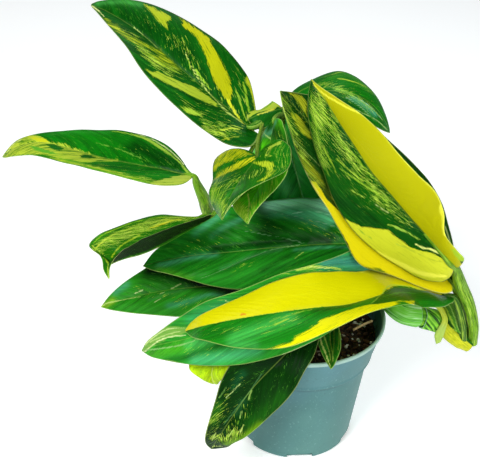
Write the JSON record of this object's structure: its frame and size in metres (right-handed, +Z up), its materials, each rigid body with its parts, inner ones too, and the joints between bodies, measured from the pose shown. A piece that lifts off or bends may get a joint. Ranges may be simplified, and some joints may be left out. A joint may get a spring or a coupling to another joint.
{
  "type": "potted foliage plant",
  "caption": "Bushy house plant with long pointed variegated leaves on arching petioles, growing from soil in a tapered round nursery pot.",
  "frame": {"origin": "centre of the pot's flat base", "axes": "+Z up out of the pot; +X to the right and +Y away from the viewer in the reference view, the creeping stem leaving over the rim towards +X"},
  "size_m": [0.3612, 0.219, 0.2866],
  "materials": {
    "pot": "matte",
    "soil": "matte",
    "stem": "satin",
    "leaf_green": "gloss",
    "leaf_lime": "gloss",
    "leaf_yellow": "gloss",
    "sheath": "satin",
    "strap": "matte",
    "straw": "matte"
  },
  "bodies": {
    "root": {"nursery_pot": "pot", "potting_soil": "soil", "stem_main": "stem", "stem_creeping": "stem", "stem_front": "stem", "leaf_upper_left": "leaf_green", "leaf_far_left": "leaf_green", "leaf_drooping_front": "leaf_green", "leaf_drooping_rear": "leaf_lime", "leaf_folded_left": "leaf_lime", "leaf_broad_middle": "leaf_green", "leaf_lower_left": "leaf_green", "leaf_low_pale_tip": "leaf_green", "leaf_lime_low": "leaf_lime", "leaf_hanging_front": "leaf_green", "leaf_young_furled": "leaf_green", "leaf_arched_top": "leaf_green", "leaf_upright_rear": "leaf_green", "leaf_upright_front": "leaf_yellow", "leaf_yellow_front": "leaf_yellow", "leaf_shaded_inner": "leaf_green", "sheath_stem_top": "sheath", "sheath_pale_tube": "sheath", "sheath_striped_tube": "sheath", "sheath_petioles_right": "sheath", "dry_strap": "strap", "straw_stick": "straw"}
  },
  "joints": []
}
